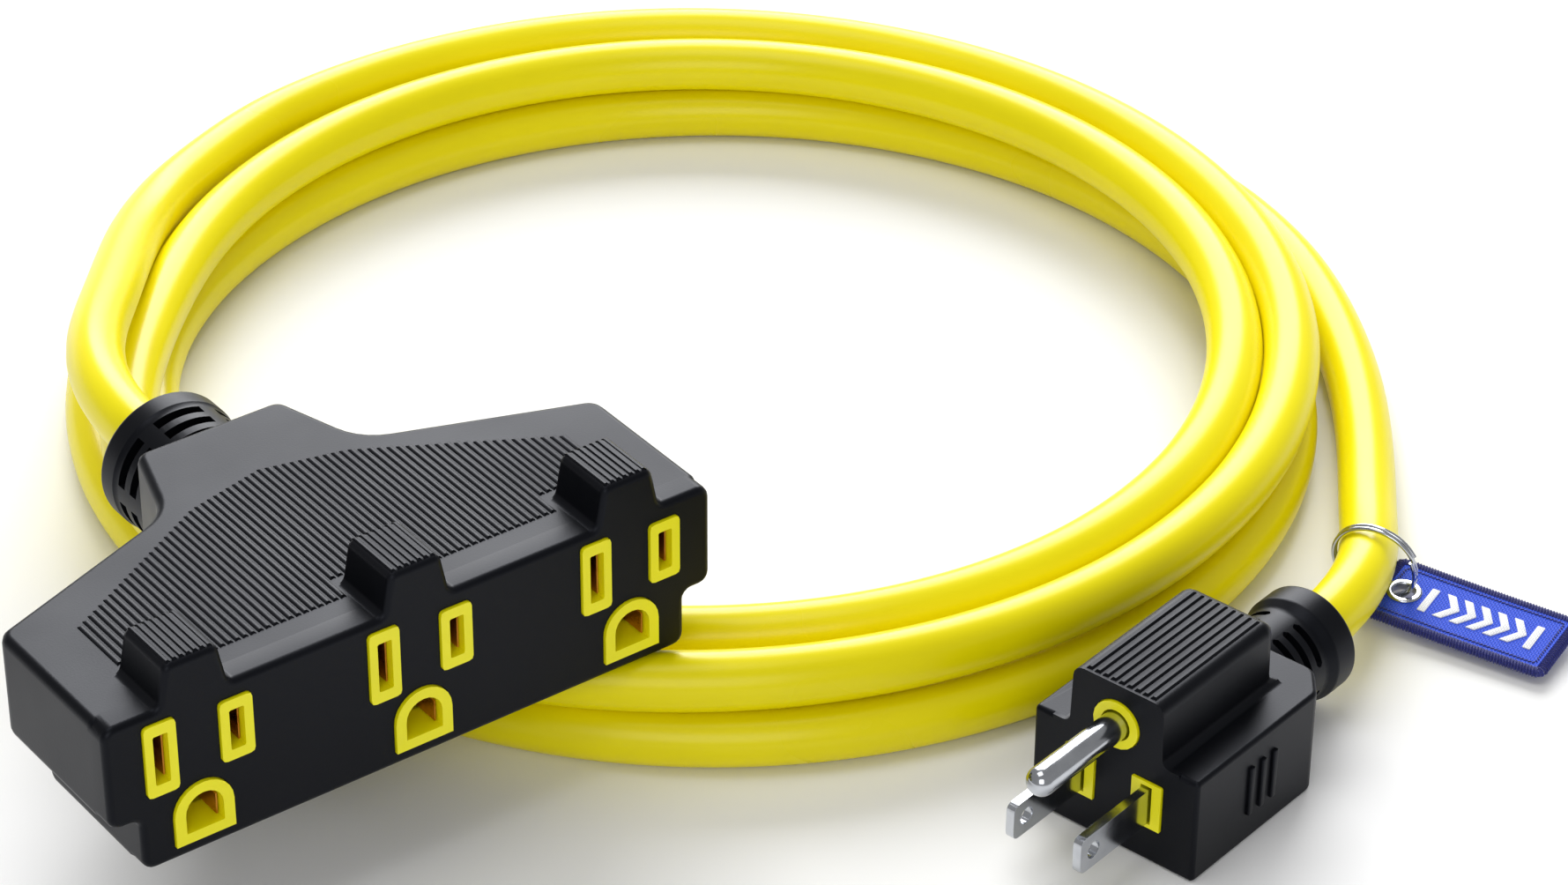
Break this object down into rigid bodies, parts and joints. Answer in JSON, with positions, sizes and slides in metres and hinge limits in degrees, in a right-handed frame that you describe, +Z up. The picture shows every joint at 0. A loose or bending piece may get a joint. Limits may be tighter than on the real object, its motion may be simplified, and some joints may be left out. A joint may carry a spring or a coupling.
{
  "type": "extension cord",
  "caption": "Coiled yellow extension cord with a flat black outlet block on one end, a moulded grounded plug on the other, and a woven tag on a split ring.",
  "frame": {"origin": "centre of the footprint's bounding box, on the surface that the coil lies on", "axes": "+Z up; the outlet face looks along -Y and its outlets stand in a row along X"},
  "size_m": [0.2783, 0.2678, 0.0549],
  "materials": {
    "black_pvc": "satin",
    "yellow_nylon": "satin",
    "yellow_jacket": "gloss",
    "brass": "polished",
    "nickel_plate": "polished",
    "core_black": "satin",
    "core_white": "satin",
    "core_green": "satin",
    "woven_blue": "woven",
    "stitched_navy": "stitched"
  },
  "bodies": {
    "cord_set": {"cord_coil": "yellow_jacket", "ground_contact_1": "brass", "ground_contact_2": "brass", "ground_contact_3": "brass", "ground_pin": "nickel_plate", "ground_strip": "brass", "hot_blade": "nickel_plate", "hot_contact_1": "brass", "hot_contact_2": "brass", "hot_contact_3": "brass", "hot_strip": "brass", "neutral_blade": "nickel_plate", "neutral_contact_1": "brass", "neutral_contact_2": "brass", "neutral_contact_3": "brass", "neutral_strip": "brass", "plug_core_black": "core_black", "plug_core_green": "core_green", "plug_core_white": "core_white", "plug_lead": "yellow_jacket", "plug_overmould": "black_pvc", "plug_pin_bridge": "yellow_nylon", "plug_strain_relief": "black_pvc", "tap_core_black": "core_black", "tap_core_green": "core_green", "tap_core_white": "core_white", "tap_lead": "yellow_jacket", "tap_overmould": "black_pvc", "tap_socket_back": "yellow_nylon", "tap_socket_front": "yellow_nylon", "tap_strain_relief": "black_pvc"},
    "ring": {"split_ring": "nickel_plate"},
    "tag": {"tag_fabric": "woven_blue", "tag_border": "stitched_navy", "tag_eyelet": "nickel_plate"}
  },
  "joints": [
    {"name": "ring_turn", "type": "hinge", "parent": "cord_set", "child": "ring", "pos_m": [0.07652, -0.09494, 0.00918], "axis": [-0.7282, -0.6693, 0.1472], "range_deg": [0, 60]},
    {"name": "tag_swing", "type": "hinge", "parent": "ring", "child": "tag", "pos_m": [0.08005, -0.10014, 0.00301], "axis": [0.1837, -0.6974, 0.6928], "range_deg": [0, 12]}
  ]
}
